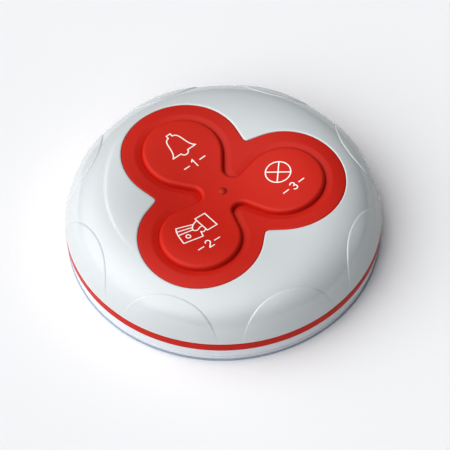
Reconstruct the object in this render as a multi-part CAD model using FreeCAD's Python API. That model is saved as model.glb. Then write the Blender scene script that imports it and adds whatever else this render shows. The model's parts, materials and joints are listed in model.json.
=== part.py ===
import FreeCAD, Part
import math
import os
from FreeCAD import Vector

# A round wireless call button for a table, with three keys in a trefoil.
# Millimetres and degrees.  The origin is the centre of the underside, Z is up,
# the call key lies towards +Y, and angles run anticlockwise from +X.

os.makedirs("parts", exist_ok=True)

# ---- Case, from the table up ------------------------------------------------
foot_thickness = 0.5
plate_thickness = 1.2
plate_gap = 0.1            # running gap between the twist-off plate and the tray
tray_wall_height = 3.2     # tray underside to the seat of the trim ring
ring_thickness = 2.75
crown_rise = 11.73         # cover rim to the crest of the crown

# ---- Cover crown, a revolved profile of two Bezier curves -------------------
rim_radius = 44.0
rim_lean = 16.5            # lean of the wall at the rim, from upright
rim_pull = 8.15            # length of the curve's handle at the rim
crest_radius = 27.6
crest_pull = 11.17         # handle outwards from the crest
dish_depth = 2.21          # crest down to the middle of the dish
dish_pull = 11.1           # handle at the middle
dish_crest_pull = 8.07     # handle inwards from the crest
cover_wall = 1.8

# ---- Raised arches round the shoulder ---------------------------------------
arch_count = 8
arch_first_angle = 30
arch_radius = 23.5         # plan radius of one arch
arch_top_radius = 37.2     # where the arch's top lies, from the axis
arch_fullness = 2.3        # extra handle length, which makes the raised shoulder
arch_rim_step = 0.05
arch_land = 0.8            # plain crown left between an arch and the keypad's opening

# ---- Key trefoil -------------------------------------------------------------
lobe_turn = 120            # from one lobe to the next
first_lobe_angle = 90
lobe_distance = 17.19      # axis to the middle of each lobe
opening_radius = 17.05     # lobe radius of the cover's opening
opening_notch = 1.4        # rounding of the cusps between the lobes
key_radius = 11.5          # lobe radius of the raised keys
key_rise = 0.9             # keys above the crown
key_cap = 2.4              # thickness of a key's pad
key_edge = 0.6             # rounding of the keys' top edge
opening_edge = 0.3         # rounding of the cover's edge round the keypad
key_split = 6.6            # where a key's neck parts from the hub
key_gap = 0.25             # gap between a moving key and its web
plunger_radius = 2.6
key_travel = 0.6
web_drop = 0.15            # web below the crown
web_fit = 0.1              # web inside the cover's opening
web_lip = 1.6              # web under the cover's edge
web_thickness = 1.05       # web under the cover
trough_width = 1.2
trough_depth = 0.4
nub_radius = 1.2           # dimple lens over the lamp
nub_rise = 0.35
lamp_skin = 0.9            # rubber left over the light guide

# ---- Frame that presses the keypad to the cover ------------------------------
seat_gap = 0.05            # general gap between pieces that sit together
frame_thickness = 1.4
frame_lip = 2.6            # frame beyond the opening's lobes
frame_disc_radius = 30.5
frame_key_gap = 0.7
frame_boss_gap = 0.3       # frame's collars clear of the case bosses
rib_width = 1.0            # cover rib that locates the keypad

# ---- Bosses and screws --------------------------------------------------------
collar_wall = 1.3
board_screw_circle = 26.0
board_boss_radius = 2.5
board_screw_radius = 1.1
board_head_radius = 2.0
board_head_height = 1.5
board_screw_length = 5.5
case_boss_radius = 2.7
case_boss_room = 0.5       # case bosses inside the tray's spigot
case_screw_radius = 1.3
case_head_radius = 2.2
case_head_height = 1.6
case_screw_length = 9.0
case_counterbore = 2.4
screw_head_rounding = 0.5

# ---- Tray ----------------------------------------------------------------------
tray_top_setback = 0.1     # tray wall inside the rim, at its top and at its foot
tray_foot_setback = 0.3
tray_floor = 1.6
tray_wall = 2.0
seam_chamfer = 0.2
spigot_room = 0.5          # spigot inside the cover's rim
spigot_height = 3.6        # above the ring's seat
ring_fit = 0.15
ring_rounding = 0.3
ring_lug_angle = 6
ring_lug_depth = 1.2
lug_spare_angle = 1        # each side of a lug in its notch

# ---- Base plate, its bayonet and its non-slip pad ------------------------------
plate_setback = 0.4        # plate inside the rim
plate_twist = 20           # clockwise from above frees the plate
hook_circle = 30.0
hook_width = 2.0
hook_reach = 2.6
hook_height = 1.2
hook_angle = 10
hook_gap = 0.25
hook_count = 3
hook_first_angle = 60
foot_setback = 0.6         # non-slip pad inside the plate's edge
cell_boss_radius = 9.0     # round rest under the coin cell
cell_boss_width = 2.0
cell_boss_height = 0.9

# ---- Coin cell and its holder ----------------------------------------------------
cell_radius = 12.25
cell_thickness = 5.0
cell_step = 0.4
cell_play = 0.15
cell_opening_room = 0.95   # opening in the tray's floor round the cell
holder_wall = 1.6
holder_lift = 0.25         # holder above the tray's floor
contact_height = 0.65
contact_width = 3.2
contact_length = 14.0
contact_sheet = 0.2
clip_width = 4.4
clip_foot = 4.0
collar_height = 2.6

# ---- Circuit board and what is on it ----------------------------------------------
board_room = 0.8           # board inside the case bosses
board_thickness = 1.6
switch_side = 6.0
switch_height = 3.2
switch_plate = 0.3
switch_leg_reach = 1.2
switch_leg_width = 0.7
stem_radius = 1.7
stem_rise = 1.5
stem_depth = 1.4
stem_travel = 0.3
stem_fit = 0.08
press_gap = 0.03
lamp_side = 3.0
lamp_height = 1.9
guide_radius = 1.45
guide_collar_radius = 2.2
guide_collar_height = 0.6
chip_circle = 12.0
chip_length = 4.9
chip_width = 3.9
chip_height = 1.5
pin_length = 1.0
pin_width = 0.4
pin_sheet = 0.2
pins_per_side = 4
pin_pitch = 1.27
crystal_length = 3.2
crystal_width = 2.5
crystal_height = 0.8
crystal_rounding = 0.4
chip_part_length = 1.6
chip_part_width = 0.8
chip_part_height = 0.5
chip_part_circle = 18.0
chip_part_step = 6
antenna_inset = 1.6        # inside the board's edge
antenna_wire_radius = 0.4
antenna_lift = 1.2
antenna_end_angle = 15     # from a board screw to the nearer end of the antenna

# ---- Sizes that follow ------------------------------------------------------------
spigot_radius = rim_radius - cover_wall / math.cos(math.radians(rim_lean)) - spigot_room
tray_foot_radius = rim_radius - tray_foot_setback
tray_top_radius = rim_radius - tray_top_setback
case_screw_circle = spigot_radius - tray_wall - case_boss_room - case_boss_radius
board_radius = case_screw_circle - case_boss_radius - board_room
antenna_circle = board_radius - antenna_inset
plate_radius = rim_radius - plate_setback
foot_radius = plate_radius - foot_setback
cell_opening = cell_radius + cell_opening_room
plate_bottom = foot_thickness
plate_top = plate_bottom + plate_thickness
tray_bottom = plate_top + plate_gap
floor_top = tray_bottom + tray_floor
ring_bottom = tray_bottom + tray_wall_height
rim_height = ring_bottom + ring_thickness
crest_height = rim_height + crown_rise
cell_bottom = plate_top + cell_boss_height + cell_play
cell_top = cell_bottom + cell_thickness
board_bottom = cell_top + contact_height
board_top = board_bottom + board_thickness
switch_top = board_top + switch_height + switch_plate
stem_top = switch_top + stem_rise
plunger_bottom = stem_top + key_travel - stem_travel + press_gap
case_boss_split = rim_height + seat_gap
web_bottom_inset = cover_wall + seat_gap + web_thickness
frame_top_inset = web_bottom_inset + seat_gap
frame_bottom_inset = frame_top_inset + frame_thickness
half_turn = math.radians(lobe_turn / 2)
key_notch = lobe_distance * math.sin(half_turn) - key_radius
lobe_angles = [first_lobe_angle + lobe_turn * index for index in range(3)]
notch_angles = [angle + lobe_turn / 2 for angle in lobe_angles]
key_names = ("call", "pay", "cancel")
upright_limit = 0.01       # upward share of a face's normal, below which it counts as a wall
up = Vector(0, 0, 1)
axis_foot = Vector(0, 0, 0)


# ---- Plain helpers ----------------------------------------------------------------
def polar(radius, angle, height=0.0):
    turn = math.radians(angle)
    return Vector(radius * math.cos(turn), radius * math.sin(turn), height)


def cylinder(radius, low, high, place=axis_foot):
    return Part.makeCylinder(radius, high - low, Vector(place.x, place.y, low), up)


def tube(inner, outer, low, high, place=axis_foot):
    return cylinder(outer, low, high, place).cut(cylinder(inner, low, high, place))


def sector(inner, outer, start, end, low, high):
    """A piece of a ring between two angles."""
    ring = Part.makeCylinder(outer, high - low, Vector(0, 0, low), up, end - start)
    ring = ring.cut(cylinder(inner, low, high))
    return turned(ring, start)


def turned(shape, angle):
    copy = shape.copy()
    copy.rotate(axis_foot, up, angle)
    return copy


def block(length, width, low, high, place=axis_foot, angle=0):
    """A block centred on a place, its length along the given angle."""
    box = Part.makeBox(length, width, high - low, Vector(-length / 2, -width / 2, low))
    box.rotate(axis_foot, up, angle)
    box.translate(Vector(place.x, place.y, 0))
    return box


def revolved(edges):
    face = Part.Face(Part.Wire(edges))
    return face.revolve(axis_foot, up, 360)


def lines(points):
    """Straight edges through points given as (radius, height)."""
    spots = [Vector(radius, 0, height) for radius, height in points]
    return [Part.LineSegment(a, b).toShape() for a, b in zip(spots, spots[1:])]


def curve(points):
    bezier = Part.BezierCurve()
    bezier.setPoles([Vector(radius, 0, height) for radius, height in points])
    return bezier.toShape()


def save(node, shape):
    shape.exportStep("parts/" + node + ".step")


# ---- The crown family ---------------------------------------------------------------
def crown(inset, floor=None, fullness=0.0, proud=0.0):
    """Solid under the crown, set in from the outer face by an even distance.

    Fullness lengthens the shoulder's upper handle, and proud moves the rim out.
    """
    lean = math.radians(rim_lean)
    rim = rim_radius - inset / math.cos(lean) + proud
    crest = crest_height - inset
    across = (rim - crest_radius) / (rim_radius - crest_radius)
    upright = (crest - rim_height) / crown_rise
    shoulder = curve([
        (rim, rim_height),
        (rim - rim_pull * math.sin(lean) * across,
         rim_height + rim_pull * math.cos(lean) * upright),
        (crest_radius + (crest_pull + fullness) * across, crest),
        (crest_radius, crest),
    ])
    dish = curve([
        (crest_radius, crest),
        (crest_radius - dish_crest_pull, crest),
        (dish_pull, crest - dish_depth),
        (0, crest - dish_depth),
    ])
    bottom = rim_height if floor is None else floor
    foot = [(0, crest - dish_depth), (0, bottom), (rim, bottom)]
    if bottom < rim_height:
        foot.append((rim, rim_height))
    return revolved(lines(foot) + [shoulder, dish])


def layer(top_inset, bottom_inset):
    """What lies between two faces of the crown family."""
    return crown(top_inset).cut(crown(bottom_inset, floor=tray_bottom))


def trefoil(lobe_radius, notch_radius):
    """Tall prism of three round lobes, whose cusps are rounded by tangent arcs."""
    half_span = lobe_distance * math.sin(half_turn)
    reach = math.sqrt(max(0.0, (lobe_radius + notch_radius) ** 2 - half_span ** 2))
    notch_distance = lobe_distance * math.cos(half_turn) + reach
    lobes = [polar(lobe_distance, angle) for angle in lobe_angles]
    notches = [polar(notch_distance, angle) for angle in notch_angles]

    def meeting(lobe, notch):
        return lobe + (notch - lobe).normalize() * lobe_radius

    edges = []
    for index, lobe in enumerate(lobes):
        before = notches[index - 1]
        after = notches[index]
        following = lobes[(index + 1) % len(lobes)]
        crest_point = lobe + Vector(lobe).normalize() * lobe_radius
        edges.append(Part.Arc(meeting(lobe, before), crest_point, meeting(lobe, after)).toShape())
        tip = after - Vector(after).normalize() * notch_radius
        edges.append(Part.Arc(meeting(lobe, after), tip, meeting(following, after)).toShape())
    return Part.Face(Part.Wire(edges)).extrude(Vector(0, 0, crest_height + crown_rise))


def key_column(spread):
    """Prism of the call key's outline: lobe and neck, grown by a spread."""
    outline = trefoil(key_radius + spread, key_notch - spread)
    size = 2 * rim_radius
    beyond_neck = Part.makeBox(size, size, size, Vector(-size / 2, key_split - spread, 0))
    return outline.common(beyond_neck)


def lobe_copies(shape):
    """The three copies of a call-key feature, in the order of the key names."""
    return [turned(shape, lobe_turn * index) for index in range(len(key_names))]


def outline_edges(shape, inset, reach):
    """Edges where a shape's upright walls meet a crown face, within a radius."""
    skin = crown(inset).Shells[0]
    found = []
    for face in shape.Faces:
        if abs(face.normalAt(*middle(face)).z) > upright_limit:
            continue
        for edge in face.Edges:
            first, last = edge.ParameterRange
            spots = [edge.valueAt(first + share * (last - first)) for share in (0.1, 0.5, 0.9)]
            near = all(math.hypot(spot.x, spot.y) < reach for spot in spots)
            if near and all(Part.Vertex(spot).distToShape(skin)[0] < seat_gap for spot in spots):
                found.append(edge)
    return found


def middle(face):
    start_u, end_u, start_v, end_v = face.ParameterRange
    return (start_u + end_u) / 2, (start_v + end_v) / 2


# ---- Cover -----------------------------------------------------------------------------
def top_cover():
    raised = crown(0, fullness=arch_fullness, proud=arch_rim_step)
    arch_centre = polar(arch_top_radius + arch_radius, arch_first_angle)
    arch = raised.common(cylinder(arch_radius, rim_height, crest_height, arch_centre))
    land = trefoil(opening_radius + arch_land, opening_notch)
    arches = [turned(arch, index * 360 / arch_count).cut(land) for index in range(arch_count)]
    shell = crown(0).multiFuse(arches)
    shell = shell.cut(crown(cover_wall, floor=tray_bottom))
    inside = crown(cover_wall / 2, floor=tray_bottom)
    rib_outline = opening_radius + web_lip + web_fit
    rib = trefoil(rib_outline + rib_width, opening_notch).cut(trefoil(rib_outline, opening_notch))
    additions = [rib.common(layer(cover_wall / 2, web_bottom_inset))]
    pilots = []
    for angle in notch_angles:
        board_spot = polar(board_screw_circle, angle)
        case_spot = polar(case_screw_circle, angle)
        board_post = cylinder(board_boss_radius, board_top + seat_gap, crest_height, board_spot)
        case_post = cylinder(case_boss_radius, case_boss_split, crest_height, case_spot)
        additions.append(board_post.common(inside))
        additions.append(case_post.common(inside))
        board_tip = board_bottom + board_screw_length + seat_gap
        case_tip = tray_bottom + case_counterbore + case_screw_length + seat_gap
        pilots.append(cylinder(board_screw_radius + seat_gap, board_top, board_tip, board_spot))
        pilots.append(cylinder(case_screw_radius + seat_gap, rim_height, case_tip, case_spot))
    shell = shell.multiFuse(additions).cut(Part.makeCompound(pilots))
    shell = shell.cut(trefoil(opening_radius, opening_notch))
    reach = lobe_distance + opening_radius + seat_gap
    return shell.makeFillet(opening_edge, outline_edges(shell, 0, reach))


# ---- Keypad ------------------------------------------------------------------------------
def raised_pad():
    """The three lobes and the hub in one piece, with their top edge rounded."""
    pad = trefoil(key_radius, key_notch).common(layer(-key_rise, web_bottom_inset))
    return pad.makeFillet(key_edge, outline_edges(pad, -key_rise, rim_radius))


def call_key(pad):
    key = pad.common(key_column(0)).cut(crown(key_cap - key_rise, floor=tray_bottom))
    place = polar(lobe_distance, first_lobe_angle)
    plunger = cylinder(plunger_radius, plunger_bottom, 2 * crest_height, place)
    return key.fuse(plunger.common(crown(key_cap / 2 - key_rise)))


def keypad_web(pad):
    deck = trefoil(opening_radius - web_fit, opening_notch + web_fit)
    deck = deck.common(layer(web_drop, web_bottom_inset))
    trough = trefoil(key_radius + trough_width, key_notch - trough_width)
    deck = deck.cut(trough.common(layer(-key_rise, web_drop + trough_depth)))
    lip = trefoil(opening_radius + web_lip, opening_notch)
    lip = lip.common(layer(cover_wall + seat_gap, web_bottom_inset))
    hub_top = crest_height - dish_depth + key_rise
    ball_radius = (nub_radius ** 2 + nub_rise ** 2) / (2 * nub_rise)
    nub = Part.makeSphere(ball_radius, Vector(0, 0, hub_top + nub_rise - ball_radius))
    nub = nub.common(cylinder(nub_radius, hub_top - nub_rise, hub_top + nub_rise))
    web = deck.multiFuse([lip, pad, nub])
    web = web.cut(Part.makeCompound(lobe_copies(key_column(key_gap))))
    return web.cut(cylinder(guide_collar_radius, rim_height, hub_top - lamp_skin))


def keypad_frame():
    outline = trefoil(opening_radius + frame_lip, opening_notch)
    outline = outline.fuse(cylinder(frame_disc_radius, rim_height, 2 * crest_height))
    frame = outline.common(layer(frame_top_inset, frame_bottom_inset))
    holes = lobe_copies(key_column(frame_key_gap))
    bore = board_boss_radius + seat_gap
    collars = []
    for angle in notch_angles:
        spot = polar(board_screw_circle, angle)
        collar = cylinder(bore + collar_wall, board_top, crest_height, spot)
        collars.append(collar.common(crown(frame_bottom_inset - frame_thickness / 2)))
        holes.append(cylinder(bore, board_top, crest_height, spot))
        case_spot = polar(case_screw_circle, angle)
        holes.append(cylinder(case_boss_radius + frame_boss_gap, board_top, crest_height, case_spot))
    guide_bore = cylinder(guide_radius + seat_gap, board_top, crest_height)
    return frame.multiFuse(collars).cut(Part.makeCompound(holes + [guide_bore]))


def light_guide():
    """Clear pin from the lamp up to the thin rubber under the nub."""
    frame_underside = crest_height - dish_depth - frame_bottom_inset
    top = crest_height - dish_depth + key_rise - lamp_skin - seat_gap
    low = board_top + lamp_height + seat_gap
    collar_top = frame_underside - seat_gap
    pin = cylinder(guide_radius, low, top)
    return pin.fuse(cylinder(guide_collar_radius, collar_top - guide_collar_height, collar_top))


# ---- Trim ring, tray and plate ------------------------------------------------------------
def trim_ring():
    inner = spigot_radius + ring_fit
    ring = tube(inner, rim_radius, ring_bottom, rim_height)
    outer_edges = [
        edge for edge in ring.Edges
        if len(edge.Vertexes) == 1 and abs(edge.Vertexes[0].Point.x - rim_radius) < seat_gap
        and abs(edge.BoundBox.ZLength) < seat_gap
    ]
    ring = ring.makeFillet(ring_rounding, outer_edges)
    half = ring_lug_angle / 2
    tip = spigot_radius - ring_lug_depth
    lugs = [
        sector(tip, inner + ring_fit, angle - half, angle + half, ring_bottom, rim_height)
        for angle in lobe_angles
    ]
    return ring.multiFuse(lugs)


def base_tray():
    spigot_top = ring_bottom + spigot_height
    profile = [
        (0, tray_bottom),
        (tray_foot_radius - seam_chamfer, tray_bottom),
        (tray_foot_radius, tray_bottom + seam_chamfer),
        (tray_top_radius, ring_bottom),
        (spigot_radius, ring_bottom),
        (spigot_radius, spigot_top),
        (spigot_radius - tray_wall, spigot_top),
        (spigot_radius - tray_wall, floor_top),
        (0, floor_top),
        (0, tray_bottom),
    ]
    tray = revolved(lines(profile))
    collar_inner = cell_radius + seat_gap + holder_wall + 2 * seat_gap
    posts = [tube(collar_inner, collar_inner + collar_wall, tray_bottom, floor_top + collar_height)]
    cuts = [cylinder(cell_opening, tray_bottom, floor_top)]
    for angle in notch_angles:
        spot = polar(case_screw_circle, angle)
        head_seat = tray_bottom + case_counterbore
        posts.append(cylinder(case_boss_radius, tray_bottom, case_boss_split - seat_gap, spot))
        cuts.append(cylinder(case_head_radius + seat_gap, tray_bottom, head_seat, spot))
        cuts.append(cylinder(case_screw_radius + 2 * seat_gap, tray_bottom, rim_height, spot))
    half = ring_lug_angle / 2 + lug_spare_angle
    within = spigot_radius - tray_wall - seat_gap
    beyond = spigot_radius + seat_gap
    for angle in lobe_angles:
        cuts.append(sector(within, beyond, angle - half, angle + half, ring_bottom, spigot_top))
    for angle in hook_angles():
        cuts.extend(hook_slots(angle))
    return tray.multiFuse(posts).cut(Part.makeCompound(cuts))


def hook_angles():
    return [hook_first_angle + 360 * index / hook_count for index in range(hook_count)]


def hook_slots(angle):
    """Narrow arc for a hook's post, and at its free end a window for the lug."""
    inner = hook_circle - hook_width / 2 - hook_gap
    outer = hook_circle + hook_width / 2 + hook_gap
    spare = math.degrees(hook_gap / hook_circle)
    locked_end = angle + hook_angle / 2 + spare
    window_end = locked_end - plate_twist
    window_start = window_end - hook_angle - 2 * spare
    post_arc = sector(inner, outer, window_start, locked_end, tray_bottom, floor_top)
    window = sector(inner, outer + hook_reach, window_start, window_end, tray_bottom, floor_top)
    return [post_arc, window]


def base_plate():
    profile = [
        (0, plate_bottom),
        (plate_radius - seam_chamfer, plate_bottom),
        (plate_radius, plate_bottom + seam_chamfer),
        (plate_radius, plate_top - seam_chamfer),
        (plate_radius - seam_chamfer, plate_top),
        (0, plate_top),
        (0, plate_bottom),
    ]
    plate = revolved(lines(profile))
    lug_low = floor_top + seat_gap + plate_gap
    lug_high = lug_low + hook_height
    rest_top = plate_top + cell_boss_height
    posts = [tube(cell_boss_radius - cell_boss_width, cell_boss_radius, plate_bottom, rest_top)]
    for angle in hook_angles():
        start = angle - hook_angle / 2
        end = angle + hook_angle / 2
        inner = hook_circle - hook_width / 2
        outer = hook_circle + hook_width / 2
        posts.append(sector(inner, outer, start, end, plate_bottom, lug_high))
        posts.append(sector(inner, outer + hook_reach, start, end, lug_low, lug_high))
    return plate.multiFuse(posts)


def foot_pad():
    return cylinder(foot_radius, 0, foot_thickness)


# ---- Cell, holder and contacts --------------------------------------------------------------
def coin_cell():
    """Coin cell: a can below, and a smaller cap on top, insulated by a groove."""
    can = cylinder(cell_radius, cell_bottom, cell_top - cell_step)
    cap = cylinder(cell_radius - 2 * cell_step, cell_top - cell_step, cell_top)
    return can.fuse(cap)


def cell_holder():
    inner = cell_radius + seat_gap
    low = floor_top + holder_lift
    ring = tube(inner, inner + holder_wall, low, board_bottom)
    beside = polar(2 * cell_radius, 0)
    window = block(4 * cell_radius, clip_width + 2 * seat_gap, low, board_bottom, beside)
    return ring.cut(window)


def negative_contact():
    """Sprung leaf under the board, bowed down towards the middle of the cell."""
    half = contact_length / 2
    quarter = contact_length / 4
    high = board_bottom - contact_sheet
    ends = [(-half, high), (-quarter, high), (quarter, high), (half, high)]
    bow = [(-quarter, cell_top), (0, cell_top), (quarter, cell_top)]
    poles = ends[:2] + bow + ends[2:]
    under = curve(poles)
    over = curve([(across, height + contact_sheet) for across, height in poles])
    left, right = [lines([(side, high), (side, board_bottom)])[0] for side in (-half, half)]
    face = Part.Face(Part.Wire([under, right, over, left]))
    leaf = face.extrude(Vector(0, contact_width, 0))
    leaf.translate(Vector(0, -contact_width / 2, 0))
    return leaf


def positive_contact():
    inner = cell_radius + seat_gap
    low = cell_bottom + cell_thickness / 4
    foot_low = board_bottom - contact_sheet
    blade = block(contact_sheet, clip_width, low, board_bottom, polar(inner + contact_sheet / 2, 0))
    foot = block(clip_foot, clip_width, foot_low, board_bottom, polar(inner + clip_foot / 2, 0))
    return blade.fuse(foot)


# ---- Circuit board and its parts ---------------------------------------------------------------
def circuit_board():
    board = cylinder(board_radius, board_bottom, board_top)
    bore = board_screw_radius + 2 * seat_gap
    spots = [polar(board_screw_circle, angle) for angle in notch_angles]
    return board.cut(Part.makeCompound([cylinder(bore, board_bottom, board_top, spot) for spot in spots]))


def call_switch():
    """Square switch body with a well for the stem."""
    place = polar(lobe_distance, first_lobe_angle)
    body = block(switch_side, switch_side, board_top, board_top + switch_height, place)
    well_floor = switch_top - stem_depth - stem_travel - press_gap
    return body.cut(cylinder(stem_radius + stem_fit, well_floor, switch_top, place))


def switch_frames():
    """Steel top plates of the three switches, with their legs bent down to the board."""
    place = polar(lobe_distance, first_lobe_angle)
    toe_length = switch_leg_reach + switch_plate
    toe_top = board_top + pin_sheet
    plate = block(switch_side, switch_side, switch_top - switch_plate, switch_top, place)
    plate = plate.cut(cylinder(stem_radius + stem_fit, board_top, switch_top, place))
    legs = []
    for side in (-1, 1):
        for along in (-1, 1):
            wall = place + Vector(side * (switch_side + switch_plate) / 2, along * switch_side / 4, 0)
            toe = place + Vector(side * (switch_side + toe_length) / 2, along * switch_side / 4, 0)
            legs.append(block(switch_plate, switch_leg_width, board_top, switch_top, wall))
            legs.append(block(toe_length, switch_leg_width, board_top, toe_top, toe))
    return Part.makeCompound(lobe_copies(plate.multiFuse(legs)))


def call_stem():
    place = polar(lobe_distance, first_lobe_angle)
    return cylinder(stem_radius, switch_top - stem_depth, stem_top, place)


def indicator_lamp():
    """Lamp package: square base and a round lens."""
    base = block(lamp_side, lamp_side, board_top, board_top + lamp_height / 2)
    return base.fuse(cylinder(lamp_side / 2 - seat_gap, board_top, board_top + lamp_height))


def chip(angle):
    """Small-outline chip with its bent pins, lying across its radius."""
    place = polar(chip_circle, angle)
    turn = angle + 90
    body = block(chip_length, chip_width, board_top + pin_sheet, board_top + chip_height, place, turn)
    pins = []
    for side in (-1, 1):
        for index in range(pins_per_side):
            along = (index - (pins_per_side - 1) / 2) * pin_pitch
            offset = Vector(along, side * (chip_width + pin_length) / 2, 0)
            shoulder = Vector(along, side * (chip_width + pin_sheet) / 2, 0)
            pins.append(block(pin_width, pin_length, board_top, board_top + pin_sheet, offset))
            pins.append(block(pin_width, pin_sheet, board_top, board_top + chip_height / 2, shoulder))
    for pin in pins:
        pin.rotate(axis_foot, up, turn)
        pin.translate(place)
    return body.multiFuse(pins)


def crystal():
    place = polar(chip_circle, notch_angles[2])
    can = block(crystal_length, crystal_width, board_top, board_top + crystal_height, place)
    corners = [
        edge for edge in can.Edges
        if abs(edge.Vertexes[0].Point.z - edge.Vertexes[1].Point.z) > crystal_height / 2
    ]
    return can.makeFillet(crystal_rounding, corners)


def chip_parts(middle_angle, count):
    """A row of small two-ended parts on one arc of the board."""
    parts = []
    top = board_top + chip_part_height
    for index in range(count):
        angle = middle_angle + (index - (count - 1) / 2) * chip_part_step
        place = polar(chip_part_circle, angle)
        parts.append(block(chip_part_length, chip_part_width, board_top, top, place, angle))
    return parts


def antenna_wire():
    """Arc of wire above the board's edge, between two screws, on its two bent ends."""
    height = board_top + antenna_lift
    start = notch_angles[0] + antenna_end_angle
    sweep = lobe_turn - 2 * antenna_end_angle
    middle_height = Vector(0, 0, height)
    loop = Part.makeTorus(antenna_circle, antenna_wire_radius, middle_height, up, 0, 360, sweep)
    loop = turned(loop, start)
    ends = []
    for angle in (start, start + sweep):
        spot = polar(antenna_circle, angle)
        ends.append(cylinder(antenna_wire_radius, board_top, height, spot))
        ends.append(Part.makeSphere(antenna_wire_radius, Vector(spot.x, spot.y, height)))
    return loop.multiFuse(ends)


# ---- Screws ----------------------------------------------------------------------------------------
def screws(circle, head_radius, head_height, shank_radius, length, seat):
    """Pan-head screws on a circle, heads down, their heads bearing at a height."""
    group = []
    for angle in notch_angles:
        spot = polar(circle, angle)
        head = cylinder(head_radius, seat - head_height, seat, spot)
        rims = [edge for edge in head.Edges if abs(edge.CenterOfMass.z - seat + head_height) < seat_gap]
        head = head.makeFillet(screw_head_rounding, rims)
        group.append(head.fuse(cylinder(shank_radius, seat - head_height / 2, seat + length, spot)))
    return Part.makeCompound(group)


# ---- All pieces --------------------------------------------------------------------------------------
pad_whole = raised_pad()
save("top_cover", top_cover())
save("trim_ring", trim_ring())
save("base_tray", base_tray())
save("base_plate", base_plate())
save("foot_pad", foot_pad())
save("keypad_web", keypad_web(pad_whole))
save("keypad_frame", keypad_frame())
save("light_guide", light_guide())
for name, key, switch, stem in zip(
    key_names, lobe_copies(call_key(pad_whole)), lobe_copies(call_switch()), lobe_copies(call_stem())
):
    save(name + "_key", key)
    save(name + "_switch", switch)
    save(name + "_stem", stem)
save("switch_frames", switch_frames())
save("circuit_board", circuit_board())
save("indicator_lamp", indicator_lamp())
save("encoder_chip", chip(notch_angles[0]))
save("transmitter_chip", chip(notch_angles[1]))
save("crystal", crystal())
save("chip_resistors", Part.makeCompound(chip_parts(notch_angles[2], 5)))
save("chip_capacitors", Part.makeCompound(
    chip_parts(notch_angles[0], 3) + chip_parts(notch_angles[1], 3)
))
save("antenna_wire", antenna_wire())
save("coin_cell", coin_cell())
save("cell_holder", cell_holder())
save("negative_contact", negative_contact())
save("positive_contact", positive_contact())
save("board_screws", screws(
    board_screw_circle, board_head_radius, board_head_height,
    board_screw_radius, board_screw_length, board_bottom,
))
save("case_screws", screws(
    case_screw_circle, case_head_radius, case_head_height,
    case_screw_radius, case_screw_length, tray_bottom + case_counterbore,
))
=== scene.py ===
import json
import math
import bmesh
import bpy
import numpy as np
from mathutils import Matrix, Vector


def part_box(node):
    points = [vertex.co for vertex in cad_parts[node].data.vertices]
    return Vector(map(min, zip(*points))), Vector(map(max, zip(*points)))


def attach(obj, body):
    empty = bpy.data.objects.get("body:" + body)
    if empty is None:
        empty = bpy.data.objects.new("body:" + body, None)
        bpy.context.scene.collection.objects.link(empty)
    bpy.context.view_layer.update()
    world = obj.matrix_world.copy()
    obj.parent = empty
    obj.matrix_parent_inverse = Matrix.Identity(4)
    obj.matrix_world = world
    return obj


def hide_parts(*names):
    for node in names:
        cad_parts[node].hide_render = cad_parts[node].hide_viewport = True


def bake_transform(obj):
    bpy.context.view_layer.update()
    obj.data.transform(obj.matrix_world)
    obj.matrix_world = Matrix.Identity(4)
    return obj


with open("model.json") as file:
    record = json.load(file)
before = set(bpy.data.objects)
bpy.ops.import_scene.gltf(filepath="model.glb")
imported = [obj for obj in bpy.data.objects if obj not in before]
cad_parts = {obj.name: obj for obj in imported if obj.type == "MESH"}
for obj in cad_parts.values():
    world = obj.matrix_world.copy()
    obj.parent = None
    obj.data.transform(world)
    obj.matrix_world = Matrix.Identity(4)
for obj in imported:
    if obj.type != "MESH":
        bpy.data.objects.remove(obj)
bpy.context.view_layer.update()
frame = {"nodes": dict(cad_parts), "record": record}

nodes = frame["nodes"]
millimetre = 0.001


def fill(tree, slot, value):
    # A socket takes a link from a Wire, and any other value as its own.
    if isinstance(value, Wire):
        tree.links.new(value.socket, slot)
    else:
        slot.default_value = value


class Wire:
    # A socket in a node tree, so that sums on it are written as plain Python.
    def __init__(self, tree, socket):
        self.tree, self.socket = tree, socket

    def math(self, operation, *others):
        node = self.tree.nodes.new("ShaderNodeMath")
        node.operation = operation
        for slot, value in zip(node.inputs, (self, *others)):
            fill(self.tree, slot, value)
        return Wire(self.tree, node.outputs[0])

    def __add__(self, other):
        return self.math("ADD", other)

    __radd__ = __add__

    def __mul__(self, other):
        return self.math("MULTIPLY", other)

    __rmul__ = __mul__

    def __sub__(self, other):
        return self.math("SUBTRACT", other)

    def __rsub__(self, other):
        return (self * -1.0).math("ADD", other)

    def between(self, low, high):
        # straight ramp, 0 at low and 1 at high, held at both ends
        slope = (self - low) * (1.0 / (high - low))
        return slope.math("MINIMUM", 1.0).math("MAXIMUM", 0.0)


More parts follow.
